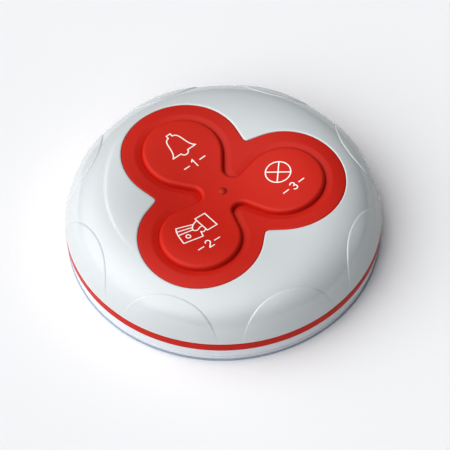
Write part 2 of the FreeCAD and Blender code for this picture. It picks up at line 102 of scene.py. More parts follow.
class Graph:
    # A node tree and the calls that fill it.
    def __init__(self, tree, coordinates):
        self.tree = tree
        self.place = self.node("ShaderNodeTexCoord", output=coordinates)

    def node(self, kind, output=0, settings=None, **inputs):
        # settings go in first, because they decide which sockets are in use
        made = self.tree.nodes.new(kind)
        for name, value in (settings or {}).items():
            setattr(made, name, value)
        self.feed(made, **inputs)
        return Wire(self.tree, made.outputs[output])

    def feed(self, made, **inputs):
        # a socket goes by its name, with _ for a space, or by i and its number
        for name, value in inputs.items():
            numbered = name[0] == "i" and name[1:].isdigit()
            slot = made.inputs[int(name[1:]) if numbered else name.replace("_", " ")]
            fill(self.tree, slot, value)

    def noise(self, scale, detail, roughness=0.5):
        return self.node("ShaderNodeTexNoise", Vector=self.place,
                         Scale=scale, Detail=detail, Roughness=roughness)

    def mix(self, factor, first, second):
        # socket 0 is the factor, and 6 and 7 are the two colours
        return self.node("ShaderNodeMix", output=2, settings={"data_type": "RGBA"},
                         i0=factor, i6=first, i7=second)

    def bump(self, height, distance, strength):
        return self.node("ShaderNodeBump", Height=height, Distance=distance, Strength=strength)

    def drift(self, cloud, tint, fall):
        # the tint where the cloud is high, less the fall in display levels where it is low
        low = [level - less for level, less in zip(tint, fall)]
        return self.mix(cloud, shade(*low), shade(*tint))


class Finish(Graph):
    # One material round a Principled shader.
    def __init__(self, name, **constants):
        self.material = bpy.data.materials.new(name)
        self.material.use_nodes = True
        super().__init__(self.material.node_tree, "Object")
        self.shader = self.tree.nodes["Principled BSDF"]
        self.feed(self.shader, **constants)

    def done(self, **links):
        self.feed(self.shader, **links)
        return self.material


def shade(*display):
    # A colour in display levels from 0 to 255, as the linear light that the shaders take: the
    # display's power curve, with its straight foot up to level 10.
    linear = [((level / 255 + 0.055) / 1.055) ** 2.4 if level > 10 else level / 3295
              for level in display]
    return (*linear, 1.0)


# In every finish a noise is its scale per metre, detail and roughness, a bump is its depth in
# metres and its strength, and a share is how much of a noise the roughness takes on.
glossyPlastic = {
    "ior": 1.5,
    "cloud": (55.0, 3.0),
    "grain": (2600.0, 2.0),
    "scuff": (420.0, 4.0, 0.7),
    "scuffRange": (0.45, 0.75),
    "scuffShare": 0.05,
    "grainShare": 0.02,
    "fall": (3, 3, 3),
    "bump": (0.000003, 0.5),
}


def glossyWhite(name, roughness, tint):
    # Moulded gloss: the tint drifts slowly, and fine grain and faint scuffs dull it.
    look = glossyPlastic
    finish = Finish(name, IOR=look["ior"])
    cloud, grain, scuff = [finish.noise(*look[part]) for part in ("cloud", "grain", "scuff")]
    gloss = roughness + look["scuffShare"] * scuff.between(*look["scuffRange"])
    return finish.done(Base_Color=finish.drift(cloud, tint, look["fall"]),
                       Roughness=gloss + look["grainShare"] * grain,
                       Normal=finish.bump(grain, *look["bump"]))


softRubber = {
    "ior": 1.47,
    "cloud": (90.0, 3.0),
    "grain": (3800.0, 3.0, 0.6),
    "dust": (1500.0, 2.0),
    "dustRange": (0.70, 0.78),
    "dustCover": 0.10,
    "dustTint": (225, 150, 140),
    "roughness": 0.37,
    "cloudShare": 0.10,
    "grainShare": 0.08,
    "fall": (8, 4, 3),
    "bump": (0.000012, 0.7),
}


def silicone(name, tint):
    # Satin rubber: the tint drifts, and specks of pale dust lie on it where a noise peaks.
    look = softRubber
    finish = Finish(name, IOR=look["ior"])
    cloud, grain, dust = [finish.noise(*look[part]) for part in ("cloud", "grain", "dust")]
    speck = look["dustCover"] * dust.between(*look["dustRange"])
    colour = finish.mix(speck, finish.drift(cloud, tint, look["fall"]), shade(*look["dustTint"]))
    gloss = look["roughness"] + look["cloudShare"] * cloud + look["grainShare"] * grain
    return finish.done(Base_Color=colour, Roughness=gloss,
                       Normal=finish.bump(grain, *look["bump"]))


redGloss = {
    "ior": 1.3,
    "cloud": (70.0, 2.0),
    "grain": (1800.0, 2.0),
    "tint": (214, 62, 44),
    "fall": (10, 6, 4),
    "roughness": 0.3,
    "grainShare": 0.1,
    "bump": (0.000004, 0.5),
}


def glossyRed(name):
    # Moulded red: a drifting tint and fine grain.
    look = redGloss
    finish = Finish(name, IOR=look["ior"])
    cloud, grain = [finish.noise(*look[part]) for part in ("cloud", "grain")]
    return finish.done(Base_Color=finish.drift(cloud, look["tint"], look["fall"]),
                       Roughness=look["roughness"] + look["grainShare"] * grain,
                       Normal=finish.bump(grain, *look["bump"]))


plainStock = {"cloudDetail": 3.0, "grain": (2500.0, 3.0, 0.6), "bump": (0.00001, 0.6)}


def plain(name, dark, pale, scale=300.0, rough=(0.4, 0.6), **constants):
    # Any other stock: the colour drifts from dark to pale over a noise of the given scale, and
    # the grain moves the roughness from the first value to the second.
    finish = Finish(name, **constants)
    cloud = finish.noise(scale, plainStock["cloudDetail"])
    grain = finish.noise(*plainStock["grain"])
    return finish.done(Base_Color=finish.mix(cloud, shade(*dark), shade(*pale)),
                       Roughness=rough[0] + (rough[1] - rough[0]) * grain,
                       Normal=finish.bump(grain, *plainStock["bump"]))


keyInk = {
    "ior": 1.45,
    "grain": (5200.0, 2.0),
    "wear": (900.0, 4.0, 0.7),
    "wearRange": (0.66, 0.8),
    "wearCover": 0.25,
    "tint": (243, 240, 238),
    "wornTint": (226, 190, 184),
    "roughness": 0.45,
    "grainShare": 0.1,
}


def printInk():
    # Pale ink, worn thin in small spots so that the red shows through.
    look = keyInk
    finish = Finish("printInk", IOR=look["ior"])
    grain, wear = [finish.noise(*look[part]) for part in ("grain", "wear")]
    worn = look["wearCover"] * wear.between(*look["wearRange"])
    return finish.done(Base_Color=finish.mix(worn, shade(*look["tint"]), shade(*look["wornTint"])),
                       Roughness=look["roughness"] + look["grainShare"] * grain)


# one finish for each material slot of the record
finishes = {
    "white_abs": glossyWhite("whiteCover", 0.07, (214, 217, 218)),
    "red_gloss": glossyRed("redRing"),
    "red_silicone": silicone("redSilicone", (207, 56, 39)),
    "foot_rubber": plain("footRubber", (170, 178, 194), (184, 192, 206), 400.0, (0.65, 0.85)),
    "inner_plastic": plain("innerPlastic", (196, 198, 200), (214, 216, 218)),
    "clear_acrylic": plain("clearAcrylic", (225, 232, 236), (238, 242, 245), rough=(0.05, 0.12),
                           Transmission_Weight=0.9, IOR=1.49),
    "board_laminate": plain("boardLaminate", (14, 78, 44), (22, 104, 58), 1800.0, (0.3, 0.45)),
    "black_plastic": plain("blackPlastic", (18, 18, 20), (30, 30, 33)),
    "steel": plain("steelZinc", (168, 170, 174), (196, 198, 202), 900.0, (0.22, 0.38),
                   Metallic=1.0),
    "nickel": plain("nickelPlate", (182, 178, 168), (206, 202, 192), 900.0, (0.2, 0.34),
                    Metallic=1.0),
    "copper_wire": plain("copperWire", (176, 92, 52), (206, 120, 74), 900.0, (0.25, 0.4),
                         Metallic=1.0),
    "part_body": plain("partBody", (60, 52, 46), (150, 128, 98), 1400.0),
    "lamp_body": plain("lampBody", (214, 208, 190), (236, 232, 218), rough=(0.2, 0.35)),
}
ink = printInk()
# Painted light: the keys are the same silicone as the flange, given a paler tint so that their
# faces read brighter, as if more strongly lit.
keySiliconePaintedLit = silicone("redKeysPaintedLit", (211, 58, 39))    # a touch paler than the flange
nubSilicone = silicone("redNub", (192, 62, 46))
# The base's white is cooler than the cover's, and paler: the paleness is painted light, so that the
# upright walls of the tray and plate read brighter.
baseWhitePaintedLit = glossyWhite("whiteBasePaintedLit", 0.2, (231, 234, 238))
baseNodes = ("base_tray", "base_plate")

for subpart in frame["record"]["subparts"]:
    name, mesh = subpart["node"], nodes[subpart["node"]].data
    mesh.materials.clear()
    mesh.materials.append(baseWhitePaintedLit if name in baseNodes else finishes[subpart["material_slot"]])
print("finishes on", len(nodes), "frame nodes")


# From here on, lengths are in millimetres and named angles in degrees.  Rows and steps are
# counts of points.
joining = {"weld": 0.0005, "sliverPart": 10, "sharpAngle": 40.0}


def gridFaces(rows, columns, closeRows=False, closeColumns=False):
    # Quads between neighbouring points of a grid whose points run row by row.
    row = np.arange(rows if closeRows else rows - 1)[:, None]
    column = np.arange(columns if closeColumns else columns - 1)[None, :]
    below, beside = (row + 1) % rows, (column + 1) % columns
    corners = (row * columns + column, row * columns + beside,
               below * columns + beside, below * columns + column)
    return np.stack(np.broadcast_arrays(*corners), -1).reshape(-1, 4)


def gridMesh(x, y, z, closeRows=False, closeColumns=False):
    # Points and quads of one surface given as three arrays.
    points = np.stack((x, y, z), -1)
    return points.reshape(-1, 3), gridFaces(*points.shape[:2], closeRows, closeColumns)


def makePiece(name, surfaces, material, body, replaced=()):
    # Joins surfaces, each its points, quads and any caps, into one object, welds poles and
    # seams, drops slivers, and turns the faces outwards.
    points, faces, start = [], [], 0
    for spots, quads, *caps in surfaces:
        points.append(spots)
        faces += (quads + start).tolist() + [(cap + start).tolist() for cap in caps]
        start += len(spots)
    mesh = bpy.data.meshes.new(name)
    mesh.from_pydata((np.concatenate(points) * millimetre).tolist(), [], faces)
    weld = joining["weld"] * millimetre
    work = bmesh.new()
    work.from_mesh(mesh)
    bmesh.ops.remove_doubles(work, verts=work.verts, dist=weld)
    bmesh.ops.dissolve_degenerate(work, edges=work.edges, dist=weld / joining["sliverPart"])
    bmesh.ops.recalc_face_normals(work, faces=work.faces)
    work.to_mesh(mesh)
    work.free()
    mesh.polygons.foreach_set("use_smooth", np.ones(len(mesh.polygons), bool))
    mesh.set_sharp_from_angle(angle=math.radians(joining["sharpAngle"]))
    mesh.materials.append(material)
    piece = bpy.data.objects.new(name, mesh)
    bpy.context.scene.collection.objects.link(piece)
    if isinstance(body, str):
        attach(piece, body)
    else:
        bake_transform(piece)
    if replaced:
        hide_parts(*replaced)
    print(name, len(mesh.polygons), "faces")


def turned(x, y, degrees):
    # Plan places turned about the upright axis.
    turn = math.radians(degrees)
    return x * math.cos(turn) - y * math.sin(turn), x * math.sin(turn) + y * math.cos(turn)


def lathe(profile, steps, centre=(0.0, 0.0)):
    # A closed profile of radius and height pairs carried round an upright axis.
    radius, height = np.array(profile, float).T
    turn = np.linspace(0, 2 * math.pi, steps, endpoint=False)
    x = centre[0] + radius[:, None] * np.cos(turn)
    y = centre[1] + radius[:, None] * np.sin(turn)
    return gridMesh(x, y, np.repeat(height[:, None], steps, 1), closeColumns=True)


# the crown that the cover, flange and keys share
ringBox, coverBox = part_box("trim_ring"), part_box("top_cover")
rimRadius = ringBox[1][0] / millimetre
rimHeight = ringBox[1][2] / millimetre
crestHeight = coverBox[1][2] / millimetre
crown = {
    "lean": 16.5,             # the wall at the rim, from upright
    "rimHandle": 8.15,        # a handle is how far a curve's end reaches on as if straight
    "crestRadius": 27.6,
    "crestHandle": 11.17,     # of the shoulder, outwards
    "dishDepth": 2.21,
    "dishHandle": 11.1,       # of the dish, from the middle ...
    "dishCrestHandle": 8.07,  # ... and back from the crest
    "dishSteps": 1200,
    "shoulderSteps": 1800,
}


def bezier(poles, steps):
    # Cubic Bezier curve: each pole counts by its Bernstein share.
    share = np.linspace(0, 1, steps)[:, None]
    rest = 1 - share
    first, second, third, last = [np.array(pole, float) for pole in poles]
    return rest ** 3 * first + 3 * share * rest ** 2 * second + \
        3 * share ** 2 * rest * third + share ** 3 * last


def crownProfile(inset=0.0, fullness=0.0, proud=0.0):
    # Radius and height from the middle out to the rim: a dish curve, then a shoulder curve.
    lean = math.radians(crown["lean"])
    rim = rimRadius - inset / math.cos(lean) + proud
    crest = crestHeight - inset
    crestRadius = crown["crestRadius"]
    across = (rim - crestRadius) / (rimRadius - crestRadius)
    upright = (crest - rimHeight) / (crestHeight - rimHeight)
    middle = crest - crown["dishDepth"]
    dish = bezier([(0, middle), (crown["dishHandle"], middle),
                   (crestRadius - crown["dishCrestHandle"], crest),
                   (crestRadius, crest)], crown["dishSteps"])
    shoulder = bezier([(crestRadius, crest),
                       (crestRadius + (crown["crestHandle"] + fullness) * across, crest),
                       (rim - crown["rimHandle"] * math.sin(lean) * across,
                        rimHeight + crown["rimHandle"] * math.cos(lean) * upright),
                       (rim, rimHeight)], crown["shoulderSteps"])
    return np.concatenate((dish, shoulder[1:])).T


def crownHeight(radius):
    # Height of the crown over a plan radius.
    return np.interp(radius, *crownProfile())


# the three-lobed outlines
trefoil = {
    "turns": (0, 120, 240),   # the lobes, from +Y
    "lobeDistance": 17.19,    # axis to the middle of each lobe
    "openingRadius": 17.05,
    "openingNotch": 1.2,      # rounding of the cusps ...
    "openingCusp": 18.6,      # ... and where they point, from the axis
    "webFit": 0.03,           # gap between the flange and the opening
    "keyRadius": 11.35,
    "keyNotch": 2.6,          # rounding between the keys' necks ...
    "keyCusp": 5.95,          # ... and how near to the axis it comes
    "keyRise": 0.9,           # the keys' faces, above the crown
    "neckSteps": 14,          # points along the straight from a notch to a lobe
}


def sectorOutline(lobeRadius, notchRadius, cusp, steps):
    # One third of a trefoil about +Y, from the cusp at 30 degrees to the one at 150: half a
    # hollow arc, a straight that touches both circles between them, the round lobe, and the
    # same back.  One row for each pair of radii; the circles' middles are the same in all.
    # The steps are a piece's dictionary, which holds its notchSteps and lobeSteps.
    lobe = np.atleast_1d(np.asarray(lobeRadius, float))[:, None]
    notch = np.atleast_1d(np.asarray(notchRadius, float))[:, None]
    distance = cusp + notch[:1]
    centreX, centreY = distance * math.cos(math.radians(30)), distance / 2
    acrossX, acrossY = -centreX, trefoil["lobeDistance"] - centreY
    touch = np.arccos((lobe[:1] + notch[:1]) / np.hypot(acrossX, acrossY))
    normal = np.arctan2(acrossY, acrossX) + touch
    towardsAxis = math.radians(210)
    bendShare = np.linspace(0, 1, steps["notchSteps"], endpoint=False)
    bend = towardsAxis + bendShare * (normal - towardsAxis)
    start = normal - math.pi
    turn = start + np.linspace(0, 1, steps["lobeSteps"]) * (math.pi - 2 * start)
    notchX, notchY = centreX + notch * np.cos(bend), centreY + notch * np.sin(bend)
    lobeX, lobeY = lobe * np.cos(turn), trefoil["lobeDistance"] + lobe * np.sin(turn)
    lastX, lastY = centreX + notch * np.cos(normal), centreY + notch * np.sin(normal)
    share = np.linspace(0, 1, trefoil["neckSteps"], endpoint=False)
    neckX, neckY = lastX + (lobeX[:, :1] - lastX) * share, lastY + (lobeY[:, :1] - lastY) * share
    x = np.concatenate((notchX, neckX, lobeX, -neckX[:, ::-1], -notchX[:, ::-1]), 1)
    y = np.concatenate((notchY, neckY, lobeY, neckY[:, ::-1], notchY[:, ::-1]), 1)
    return x, y


def wholeOutline(*sector):
    # Three turned copies of a sector, less the cusp point that each pair shares.
    x, y = sectorOutline(*sector)
    copies = [turned(x, y, degrees) for degrees in trefoil["turns"]]
    return [np.concatenate([copy[side][:, :-1] for copy in copies], 1) for side in (0, 1)]


cover = {
    "wall": 1.8,
    "openingEdge": 0.55,      # the edge round the keypad falls away over this width ...
    "openingDrop": 0.3,       # ... by this much
    "rimEdge": 0.16,
    "archCount": 8,
    "firstArch": 30.0,
    "archRadius": 23.5,
    "archTop": 37.2,          # top of an arch, from the axis
    "archFullness": 2.3,      # added to the crest's handle on an arch's pad ...
    "archRimStep": 0.05,      # ... which stands this proud at the rim
    "archClear": 0.5,         # no arch rises nearer to the crest than this
    "stepWidth": 0.5,         # rounding from the foot of an arch up to its pad ...
    "stepShare": 0.46,        # ... and the share of the rise that it takes
    "bulgeWidth": 4.0,        # width over which a soft bulge takes the rest
    "footMargin": 1.5,        # the foot's row stays this far from the rim ...
    "padMargin": 0.7,         # ... and the row where the step ends this far ...
    "marginBlend": 0.35,      # ... which they ease into
    "footGap": 0.12,          # from the last row of the slope to the foot's row
    "edgeRows": 7,
    "slopeRows": 40,
    "stepRows": 10,
    "padRows": 30,
    "rimRows": 6,
    "innerRows": 20,
    "notchSteps": 8,
    "lobeSteps": 236,
    "thinning": 4,            # the rise is measured at one profile point in this many
}


def softLeast(value, limit):
    # The lesser of two values, rounded where they meet.
    blend = cover["marginBlend"]
    return -blend * np.logaddexp(-value / blend, -limit / blend)


def fromArch(turn):
    # Angle from the middle of the nearest arch.
    pitch = 2 * math.pi / cover["archCount"]
    return (turn - math.radians(cover["firstArch"]) + pitch / 2) % pitch - pitch / 2


def archInset(x, y):
    # How far a plan point lies inside the nearest arch's circle, below 0 outside.
    turn, radius = fromArch(np.arctan2(y, x)), np.hypot(x, y)
    middle = cover["archTop"] + cover["archRadius"]
    return cover["archRadius"] - np.hypot(radius * np.cos(turn) - middle, radius * np.sin(turn))


def archReach(turn, inset):
    # Plan radius at which a ray from the axis lies the given depth inside an arch.
    turn = fromArch(turn)
    middle = cover["archTop"] + cover["archRadius"]
    radius = cover["archRadius"] - inset
    inside = np.maximum(radius ** 2 - (middle * np.sin(turn)) ** 2, 0)
    return middle * np.cos(turn) - np.sqrt(inside)


def coverSurface():
    # Rows run out from the opening's edge, over the shoulder to the rim, and back inside.
    # Each column is a ray from the axis; rows gather at the arches' feet.  A pad rises along
    # the crown's normal: a quarter round first, then a smooth step.
    outer = crownProfile()
    raised = crownProfile(fullness=cover["archFullness"], proud=cover["archRimStep"])
    length = np.concatenate(((0,), np.cumsum(np.hypot(*np.diff(outer)))))
    slope = np.gradient(outer, axis=1)
    normal = np.stack((-slope[1], slope[0])) / np.hypot(*slope)
    thin = slice(None, None, cover["thinning"])
    gap = np.hypot(*[raised[side][None, thin] - outer[side][thin, None] for side in (0, 1)])
    shoulder = outer[0] > crown["crestRadius"] + cover["archClear"]
    rise = np.interp(length, length[thin], gap.min(1)) * shoulder
    total = length[-1]

    def along(radius):
        # length along the profile, carried straight on past the rim
        beyond = np.maximum(radius - outer[0][-1], 0) / math.sin(math.radians(crown["lean"]))
        return np.interp(radius, outer[0], length) + beyond

    quarter = np.linspace(0, math.pi / 2, cover["edgeRows"])
    offset = cover["openingEdge"] * (1 - np.cos(quarter))
    outlineX, outlineY = wholeOutline(
        trefoil["openingRadius"] + offset, trefoil["openingNotch"] - offset,
        trefoil["openingCusp"], cover)
    drop = cover["openingDrop"] * (1 - np.sin(quarter))[:, None]
    edgeZ = crownHeight(np.hypot(outlineX, outlineY)) - drop

    turn = np.arctan2(outlineY[-1], outlineX[-1])
    first = along(np.hypot(outlineX[-1], outlineY[-1]))
    foot = softLeast(along(archReach(turn, 0.0)), total - cover["footMargin"])
    pad = softLeast(along(archReach(turn, cover["stepWidth"])), total - cover["padMargin"])
    crossing = 1 - np.cos(np.linspace(0, math.pi / 2, cover["stepRows"]))
    reach = np.concatenate([
        first + (foot - cover["footGap"] - first) * np.linspace(0, 1, cover["slopeRows"])[1:, None],
        foot + (pad - foot) * crossing[:, None],
        pad + (total - cover["rimEdge"] - pad) * np.linspace(0, 1, cover["padRows"])[1:, None],
    ])
    radius = np.interp(reach, length, outer[0])
    height = np.interp(reach, length, outer[1])
    inset = archInset(radius * np.cos(turn), radius * np.sin(turn))
    step = np.clip(inset / cover["stepWidth"], 0, 1)
    bulge = np.clip(inset / cover["bulgeWidth"], 0, 1)
    climb = cover["stepShare"] * np.sqrt(1 - (1 - step) ** 2) + \
        (1 - cover["stepShare"]) * bulge ** 2 * (3 - 2 * bulge)
    lift = climb * np.interp(reach, length, rise)
    radius = radius + lift * np.interp(reach, length, normal[0])
    height = height + lift * np.interp(reach, length, normal[1])

    rimTurn = np.linspace(0, math.pi / 2, cover["rimRows"])[1:, None]
    rimX = radius[-1:] - cover["rimEdge"] * (1 - np.cos(rimTurn))
    rimZ = height[-1:] - (height[-1:] - rimHeight) * np.sin(rimTurn)
    inner = crownProfile(cover["wall"])
    openingFloor = np.hypot(outlineX[0], outlineY[0])
    innerRim = inner[0][-1]
    innerShare = np.linspace(0, 1, cover["innerRows"])[:, None]
    innerRadius = innerRim + (openingFloor - innerRim) * innerShare
    radii = np.concatenate((radius, rimX, innerRadius))
    heights = np.concatenate((height, rimZ, np.interp(innerRadius, *inner)))
    x = np.concatenate((outlineX, radii * np.cos(turn)))
    y = np.concatenate((outlineY, radii * np.sin(turn)))
    x[-1], y[-1] = outlineX[0], outlineY[0]
    return gridMesh(x, y, np.concatenate((edgeZ, heights)), closeRows=True, closeColumns=True)


makePiece("coverShell", [coverSurface()], finishes["white_abs"], "housing",
          ["top_cover"])


keypad = {
    "drop": 0.15,             # flange below the crown
    "bead": 0.3,              # rounding of the flange's outer edge
    "wallDepth": 1.2,         # foot of that edge, below the crown
    "troughWidth": 2.2,       # the flange sinks to a trough round the keys over this width ...
    "troughDepth": 0.5,       # ... by this much
    "troughBend": 1.4,        # above 1 the slope steepens towards the keys
    "creaseWidth": 0.42,      # a narrow crease at the foot of the keys' walls
    "creaseDepth": 0.14,
    "tuck": 0.12,             # flange tucked under the keys' walls
    "skirt": 0.9,             # ... and under the cover
    "skirtGap": 0.05,         # between the skirt and the cover's wall
    "webInset": 2.9,          # underside of the flange, below the crown
    "beadRows": 8,
    "levelRows": 14,
    "levelShares": (0.97, 0.985),    # the level part's last two rows, which hold the trough's lip
    "troughRows": 13,
    "creaseRows": 6,
    "keyEdge": 1.0,           # rounding of the keys' upper edges
    "pillow": 0.25,           # fall of a lobe's face towards its edge ...
    "pillowLift": 0.3,        # ... of which this share lifts its middle
    "pillowStart": 5,         # the pillow fades out towards this distance from the axis
    "keyCap": 2.4,            # thickness of the keys
    "wallBelow": 1.2,         # the keys' walls reach this far below the crown
    "wallLean": 8.0,          # those walls, from upright
    "topRows": 30,
    "rowCrowding": 0.8,       # below 1 the rows gather towards the edge
    "edgeRows": 10,
    "wallRows": 5,
    "lowRows": 12,
    "plungerRadius": 2.6,
    "plungerEdge": 0.2,
    "plungerLow": 15.33,      # foot of the plungers, above the table
    "plungerSink": 1.0,       # their heads, below the crest
    "plungerSteps": 48,
    "bendStart": 4.2,         # a point this far out along a lobe ...
    "bendEnd": 9.0,           # ... and one this far out; makePiece bakes the skin in place and bends nothing
    "notchSteps": 36,
    "lobeSteps": 200,
}


def flangeSurface():
    # Rows run in from the cover's edge: wall, round bead, level part, then a trough whose depth
    # is a power of the nearness to the keys' foot, with a narrower crease at that foot, then back
    # underneath and out to the skirt.
    fit, cusp = trefoil["webFit"], trefoil["openingCusp"]
    bead, tuck, skirt = keypad["bead"], keypad["tuck"], keypad["skirt"]
    width, crease = keypad["troughWidth"], keypad["creaseWidth"]
    quarter = np.linspace(0, math.pi / 2, keypad["beadRows"])
    offset = np.concatenate(([0.0], bead * (1 - np.cos(quarter))))
    beadX, beadY = wholeOutline(trefoil["openingRadius"] - fit - offset,
                                trefoil["openingNotch"] + fit + offset, cusp - fit, keypad)
    beadDrop = np.concatenate(([keypad["wallDepth"]],
                               keypad["drop"] + bead * (1 - np.sin(quarter))))
    reach = np.concatenate((np.linspace(width, crease, keypad["troughRows"]),
                            crease * np.linspace(1, 0, keypad["creaseRows"])[1:], [-tuck]))
    troughX, troughY = wholeOutline(trefoil["keyRadius"] + reach, trefoil["keyNotch"] - reach,
                                    trefoil["keyCusp"] + reach[0], keypad)
    nearness, closeness = [1 - np.clip(reach / span, 0, 1) for span in (width, crease)]
    troughDrop = keypad["drop"] + keypad["troughDepth"] * nearness ** keypad["troughBend"] + \
        keypad["creaseDepth"] * closeness ** 2
    nextToLast, last = keypad["levelShares"]
    share = np.concatenate((np.linspace(0, nextToLast, keypad["levelRows"]), [last]))[1:, None]
    levelX = beadX[-1:] + (troughX[:1] - beadX[-1:]) * share
    levelY = beadY[-1:] + (troughY[:1] - beadY[-1:]) * share
    x, y = np.concatenate((beadX, levelX, troughX)), np.concatenate((beadY, levelY, troughY))
    drop = np.concatenate((beadDrop, np.full(len(levelX), keypad["drop"]), troughDrop))
    z = crownHeight(np.hypot(x, y)) - drop[:, None]
    skirtX, skirtY = wholeOutline(trefoil["openingRadius"] + skirt,
                                  trefoil["openingNotch"] - skirt, cusp + skirt, keypad)
    underX = np.concatenate((troughX[-1:], skirtX, skirtX, beadX[:1]))
    underY = np.concatenate((troughY[-1:], skirtY, skirtY, beadY[:1]))
    low, high = keypad["webInset"], cover["wall"] + keypad["skirtGap"]
    underZ = crownHeight(np.hypot(underX, underY)) - np.array([low, low, high, high])[:, None]
    return gridMesh(np.concatenate((x, underX)), np.concatenate((y, underY)),
                    np.concatenate((z, underZ)), closeRows=True, closeColumns=True)


def keyTop(x, y):
    # Height of the keys' face: the crown raised, less a fall that grows with the fourth power of
    # the distance from a lobe's middle and fades out along the neck to the hub.
    radius = np.hypot(x, y)
    turn = (np.arctan2(y, x) - math.pi / 6) % (2 * math.pi / 3) - math.pi / 3
    along, across = radius * np.cos(turn), radius * np.sin(turn)
    distance = np.hypot(across, along - trefoil["lobeDistance"]) / trefoil["keyRadius"]
    start = keypad["pillowStart"]
    share = np.clip((along - start) / (trefoil["lobeDistance"] - start), 0, 1)
    rounding = distance ** 4 - keypad["pillowLift"]
    fall = keypad["pillow"] * rounding * share * share * (3 - 2 * share)
    return crownHeight(radius) + trefoil["keyRise"] - fall


def keySurface():
    # One lobe of the raised pad with its third of the hub.  Rows run from a spine (the axis,
    # then the middle of the lobe) out to the edge, round it, down the wall and back below.
    # The two seam faces towards its neighbours close it.
    edge, rise, lean = keypad["keyEdge"], trefoil["keyRise"], math.radians(keypad["wallLean"])
    quarter = np.linspace(math.pi / 2, lean, keypad["edgeRows"])
    wallTop = edge * (1 - math.sin(lean))
    wallFoot = rise + keypad["drop"] + keypad["troughDepth"]
    wallDepth = np.linspace(wallTop, rise + keypad["wallBelow"], keypad["wallRows"])[1:]
    depth = np.concatenate((edge * (1 - np.sin(quarter)), wallDepth))
    offset = (wallFoot - depth) * math.tan(lean)
    offset[:len(quarter)] = (wallFoot - wallTop) * math.tan(lean) + \
        edge * (math.cos(lean) - np.cos(quarter))
    ringX, ringY = sectorOutline(trefoil["keyRadius"] - offset, trefoil["keyNotch"] + offset,
                                 trefoil["keyCusp"] - offset[0], keypad)
    ringZ = keyTop(ringX, ringY) - depth[:, None]
    columns = ringX.shape[1]
    climb = np.clip(np.arange(columns) / (keypad["notchSteps"] + trefoil["neckSteps"]), 0, 1)
    spineY = trefoil["lobeDistance"] * np.minimum(climb, climb[::-1])
    share = (np.linspace(0, 1, keypad["topRows"]) ** keypad["rowCrowding"])[:-1, None]
    topX, topY = ringX[0] * share, spineY + (ringY[0] - spineY) * share
    share = np.linspace(1, 0, keypad["lowRows"])[1:, None]
    lowX, lowY = ringX[-1] * share, spineY + (ringY[-1] - spineY) * share
    lowZ = crownHeight(np.hypot(lowX, lowY)) - (keypad["keyCap"] - rise)
    x, y = np.concatenate((topX, ringX, lowX)), np.concatenate((topY, ringY, lowY))
    z = np.concatenate((keyTop(topX, topY), ringZ, lowZ))
    seam = np.arange(len(x)) * columns
    return *gridMesh(x, y, z), seam[::-1], seam + columns - 1


def plunger():
    # A plain round pin, the radius of each step of its profile carried round the lobe's middle.
    radius, edge, low = keypad["plungerRadius"], keypad["plungerEdge"], keypad["plungerLow"]
    top = crestHeight - keypad["plungerSink"]
    return lathe([(0, low), (radius - edge, low), (radius, low + edge), (radius, top), (0, top)],
                 keypad["plungerSteps"], (0.0, trefoil["lobeDistance"]))


makePiece("keypadFlange", [flangeSurface()], finishes["red_silicone"], "housing",
          ["keypad_web"])
keys = dict(zip(("call", "pay", "cancel"), trefoil["turns"]))
for key, degrees in keys.items():
    surfaces = []
    for points, *faces in (keySurface(), plunger()):
        x, y, z = points.T
        surfaces.append((np.stack((*turned(x, y, degrees), z), -1), *faces))
    turn = math.radians(90 + degrees)
    start, end = [(reach * millimetre * math.cos(turn), reach * millimetre * math.sin(turn), 0.0)
                  for reach in (keypad["bendStart"], keypad["bendEnd"])]
    makePiece(key + "KeySkin", surfaces, keySiliconePaintedLit,
              ("housing", key + "_button", start, end), [key + "_key"])


nub = {
    "radius": 1.2,
    "rise": 0.6,
    "roundness": 1.2,         # 1 is an ellipse, above 1 the foot flares
    "skirt": 0.25,
    "skirtDrop": 0.02,
    "sink": 0.3,              # down into the hub
    "rows": 14,
    "steps": 64,
}


def nubSurface():
    # A shallow dome whose foot flares softly into the hub: its radius is a sine and its height
    # a power of the cosine of the same angle.
    ground = crestHeight - crown["dishDepth"] + trefoil["keyRise"]
    share = np.linspace(0, 1, nub["rows"])
    radius = nub["radius"] * np.sin(share * math.pi / 2)
    height = ground + nub["rise"] * np.cos(share * math.pi / 2) ** nub["roundness"]
    wide, low = nub["radius"] + nub["skirt"], ground - nub["sink"]
    foot = [(wide, ground - nub["skirtDrop"]), (wide, low), (0, low)]
    return lathe(list(zip(radius, height)) + foot, nub["steps"])


makePiece("lampNub", [nubSurface()], nubSilicone, "housing")


footPad = {
    "radius": 43.75,
    "lip": 0.7,               # height of the lip
    "edge": 0.1,              # rounding of its outer edges
    "plateGap": 0.01,
    "edgeSteps": 5,
    "steps": 256,
}


def padSurface():
    # A thin disc with a low lip round the plate's edge, turned about the axis.
    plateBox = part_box("base_plate")
    inner, seat = plateBox[1][0] / millimetre + footPad["plateGap"], plateBox[0][2] / millimetre
    edge, lip = footPad["edge"], footPad["lip"]
    shoulder = footPad["radius"] - edge
    quarter = np.linspace(0, math.pi / 2, footPad["edgeSteps"])
    low = [(shoulder + edge * math.sin(turn), edge - edge * math.cos(turn)) for turn in quarter]
    high = [(shoulder + edge * math.cos(turn), lip - edge + edge * math.sin(turn))
            for turn in quarter]
    return lathe([(0, 0)] + low + high + [(inner, lip), (inner, seat), (0, seat)],
                 footPad["steps"])


makePiece("padSkin", [padSurface()], finishes["foot_rubber"], "twist_plate",
          ["foot_pad"])


